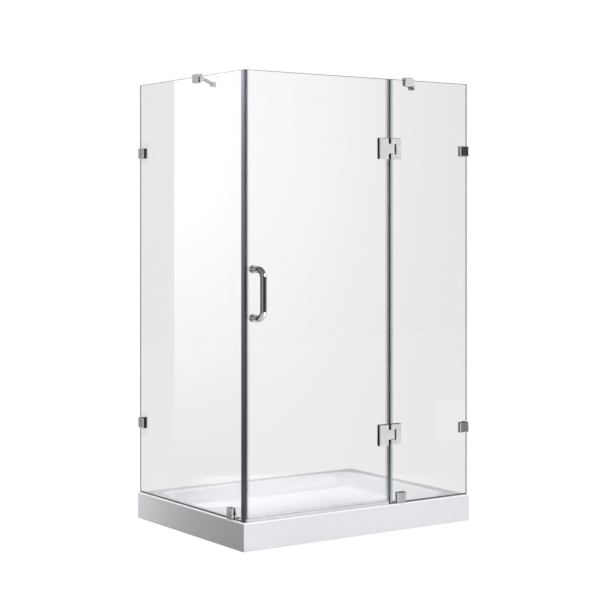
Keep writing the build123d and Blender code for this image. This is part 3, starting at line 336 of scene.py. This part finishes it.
def corner_plastic(name, core, axes, core_end):
    """Translucent corner seal, darker and less clear up to core_end from the glass corner along the
    axes.
    """
    material, tree, shader = new_material(name)
    split = tree.nodes.new("ShaderNodeSeparateXYZ")
    tree.links.new(place_in_mesh(tree), split.inputs["Vector"])
    reach = None
    for axis in axes:
        along = math_node(tree, "SUBTRACT", split.outputs[axis], GLASS_CORNER[axis])
        reach = along if reach is None else math_node(tree, "MAXIMUM", reach, along)
    outside = remap(tree, reach, (core_end - 0.0004, core_end + 0.0004), smooth=True)
    cloud = noise(tree, 60.0, stretch=(1.0, 1.0, 0.1))
    dark = mix_colours(tree, cloud, tuple(c * 0.9 for c in core), core)
    tree.links.new(mix_colours(tree, outside, dark, SEAL_TINT), shader.inputs["Base Color"])
    tree.links.new(remap(tree, outside, (0.0, 1.0), (0.25, 1.0)), shader.inputs["Transmission Weight"])
    tree.links.new(remap(tree, cloud, (0.3, 0.7), (0.08, 0.14)), shader.inputs["Roughness"])
    shader.inputs["IOR"].default_value = PLASTIC_IOR
    let_lamps_through(material, tree, shader, SEAL_TINT)
    return material


def finishes():
    """The finish of each material slot."""
    by_slot = {
        "polished_chrome": chrome("polished_chrome", (0.05, 0.09)),
        "white_acrylic": acrylic("white_acrylic"),
        "clear_seal": clear_plastic("clear_seal", SEAL_TINT, (0.03, 0.08)),
    }
    for slot, row in PLAIN_FINISHES.items():
        by_slot[slot] = mottled(slot, *row)
    return by_slot


def own_finishes():
    """Finishes of single pieces, which differ a little from their slot's."""
    satin = chrome("satin_chrome", (0.28, 0.36), SATIN_TONE)
    # The hinge finish is lightened as painted light.
    hinge = chrome("hinge_chrome", (0.30, 0.38), HINGE_TONE_PAINTED_LIGHT, HINGE_CORE)
    # The handle finish is darkened as painted shade.
    handle = chrome("handle_chrome", (0.04, 0.07), HANDLE_TONE_PAINTED_SHADE)
    own = {node: handle for node in ("pull_handle", "handle_washers", "handle_inner_caps")}
    own["hinge_side_seal"] = clear_plastic("bulb_seal", BULB_TINT, (0.05, 0.10))
    own["inline_edge_seal"] = clear_plastic("edge_seal", EDGE_SEAL_TINT, (0.05, 0.10))
    for node in NODES:
        if "_hinge_" in node:
            own[node] = hinge
        elif "saddle" in node:
            own[node] = satin
    seal = corner_plastic("return_corner_seal", RETURN_CORE, (0,), RETURN_CORE_END)
    own["return_strike_seal"] = seal
    own["door_strike_seal"] = corner_plastic("door_corner_seal", DOOR_CORE, (0, 1), DOOR_CORE_END)
    for node, across, sealed in PANES:
        own[node] = glass(node + "_glass", node, across, sealed)
    return own


# Studio


def directions(tree):
    """Azimuth and elevation of a ray that leaves the scene, in degrees."""
    direction = tree.nodes.new("ShaderNodeTexCoord").outputs["Generated"]
    split = tree.nodes.new("ShaderNodeSeparateXYZ")
    tree.links.new(direction, split.inputs["Vector"])
    azimuth = math_node(tree, "ARCTAN2", split.outputs["X"], split.outputs["Y"])
    elevation = math_node(tree, "ARCSINE", split.outputs["Z"])
    return math_node(tree, "DEGREES", azimuth), math_node(tree, "DEGREES", elevation)


def window(tree, value, edges):
    """1 between two soft edges, given as start, full, end and gone."""
    start, full, end, gone = edges
    rise = remap(tree, value, (start, full), smooth=True)
    fall = remap(tree, value, (end, gone), (1.0, 0.0), smooth=True)
    return math_node(tree, "MULTIPLY", rise, fall)


def world_mirror(tree, azimuth, elevation):
    """Radiance that a mirror direction meets, as a node value."""
    overhead = remap(tree, elevation, OVERHEAD_RISE, smooth=True)
    level = mix_values(tree, overhead, MIRROR_BASE, MIRROR_OVERHEAD)
    underneath = remap(tree, elevation, UNDERNEATH_FALL, (1.0, 0.0), smooth=True)
    level = mix_values(tree, underneath, level, MIRROR_UNDERNEATH)
    for around, up, radiance in MIRRORED:
        inside = math_node(
            tree, "MULTIPLY", window(tree, azimuth, around), window(tree, elevation, up)
        )
        level = mix_values(tree, inside, level, radiance)
    return level


def path_values(tree):
    """1 where a path has passed glass, has mirrored or has scattered before it meets this."""
    path = tree.nodes.new("ShaderNodeLightPath")
    kinds = ("Transmission Depth", "Glossy Depth", "Diffuse Depth")
    return [math_node(tree, "GREATER_THAN", path.outputs[kind], 0.5) for kind in kinds]


def make_world():
    world = bpy.data.worlds.new("studio")
    bpy.context.scene.world = world
    world.use_nodes = True
    world.cycles.sampling_method = "NONE"
    tree = world.node_tree
    passed, mirrored, scattered = path_values(tree)
    azimuth, elevation = directions(tree)
    level = mix_values(tree, passed, 1.0, BACKDROP_BEHIND_GLASS)
    level = mix_values(tree, mirrored, level, world_mirror(tree, azimuth, elevation))
    sky = remap(tree, elevation, SKY_RISE, (SKY_LOW, SKY_HIGH), smooth=True)
    level = mix_values(tree, scattered, level, sky)
    tree.nodes["Background"].inputs["Color"].default_value = (1.0, 1.0, 1.0, 1.0)
    tree.links.new(level, tree.nodes["Background"].inputs["Strength"])


def make_floor():
    mesh = bpy.data.meshes.new("floor")
    half = FLOOR_SIZE / 2
    corners = [(-half, -half, 0), (half, -half, 0), (half, half, 0), (-half, half, 0)]
    mesh.from_pydata(corners, [], [(0, 1, 2, 3)])
    floor = bpy.data.objects.new("floor", mesh)
    floor.location.z = -FLOOR_DROP
    bpy.context.scene.collection.objects.link(floor)
    material, tree, shader = new_material("floor")
    tree.nodes.remove(shader)
    passed, mirrored, scattered = path_values(tree)
    lit = tree.nodes.new("ShaderNodeBsdfDiffuse")
    albedo = mix_values(tree, passed, FLOOR_SEEN_ALBEDO, FLOOR_BEHIND_GLASS_ALBEDO)
    tree.links.new(albedo, lit.inputs["Color"])
    glow = tree.nodes.new("ShaderNodeEmission")
    level = mix_values(tree, passed, FLOOR_GLOW, FLOOR_GLOW_BEHIND_GLASS)
    tree.links.new(level, glow.inputs["Strength"])
    seen = tree.nodes.new("ShaderNodeAddShader")
    tree.links.new(lit.outputs[0], seen.inputs[0])
    tree.links.new(glow.outputs[0], seen.inputs[1])
    clear = tree.nodes.new("ShaderNodeBsdfTransparent")
    plain = tree.nodes.new("ShaderNodeBsdfDiffuse")
    plain.inputs["Color"].default_value = (FLOOR_ALBEDO,) * 3 + (1.0,)
    shader = seen.outputs[0]
    for factor, other in ((mirrored, clear.outputs[0]), (scattered, plain.outputs[0])):
        mix = tree.nodes.new("ShaderNodeMixShader")
        tree.links.new(factor, mix.inputs[0])
        tree.links.new(shader, mix.inputs[1])
        tree.links.new(other, mix.inputs[2])
        shader = mix.outputs[0]
    tree.links.new(shader, tree.nodes["Material Output"].inputs["Surface"])
    mesh.materials.append(material)


def soft_light(name, place, target, size, power):
    data = bpy.data.lights.new(name, "AREA")
    data.shape = "RECTANGLE"
    data.size, data.size_y = size
    data.energy = power
    light = bpy.data.objects.new(name, data)
    light.location = place
    light.rotation_mode = "QUATERNION"
    light.rotation_quaternion = (Vector(target) - Vector(place)).to_track_quat("-Z", "Y")
    light.visible_camera = False
    light.visible_glossy = False
    light.visible_transmission = False
    bpy.context.scene.collection.objects.link(light)


def make_lights():
    for name, (place, target, size, power) in LAMPS.items():
        soft_light(name, place, target, size, power)


def make_camera():
    data = bpy.data.cameras.new("camera")
    data.sensor_width = SENSOR_MM
    data.lens = FOCAL_LENGTH_PX / IMAGE_SIZE_PX * SENSOR_MM
    data.shift_y = (HORIZON_ROW_PX - IMAGE_SIZE_PX / 2) / IMAGE_SIZE_PX
    data.clip_end = 100.0
    camera = bpy.data.objects.new("camera", data)
    camera.location = CAMERA_PLACE
    camera.rotation_euler = (math.radians(90.0), 0.0, math.radians(-CAMERA_YAW_DEG))
    bpy.context.scene.collection.objects.link(camera)
    bpy.context.scene.camera = camera


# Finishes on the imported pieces


def dress_nodes():
    by_slot = finishes()
    own = own_finishes()
    for node, thing in NODES.items():
        thing.data.materials.clear()
        thing.data.materials.append(own[node] if node in own else by_slot[SLOT_OF[node]])


bpy.context.scene.view_settings.view_transform = "Standard"
make_camera()
make_world()
make_floor()
make_lights()
dress_nodes()
